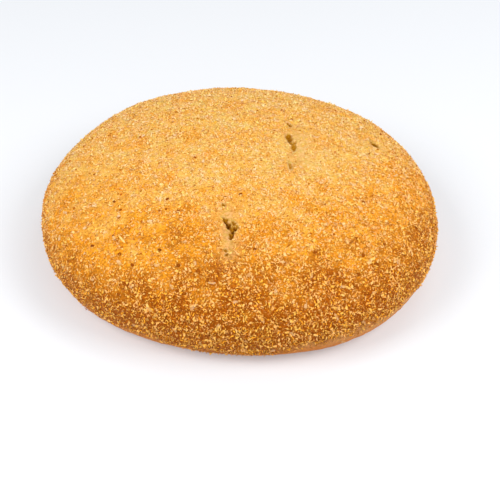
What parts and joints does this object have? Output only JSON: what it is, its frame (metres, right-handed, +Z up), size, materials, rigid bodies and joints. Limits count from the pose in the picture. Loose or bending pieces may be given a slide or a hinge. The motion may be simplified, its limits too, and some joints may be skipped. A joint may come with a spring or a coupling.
{
  "type": "semolina bread loaf",
  "caption": "Round, low-crowned semolina loaf with a flat foot, bran flakes stuck to its crust and short tears in its top.",
  "frame": {"origin": "middle of the loaf's outline seen from above, on the surface that its foot rests on", "axes": "+Z up through the crown; -Y towards the side with the deeper tear; +X to the right as seen from there"},
  "size_m": [0.2236, 0.2148, 0.0585],
  "materials": {
    "crust": "matte"
  },
  "bodies": {
    "root": {"loaf": "crust"}
  },
  "joints": []
}
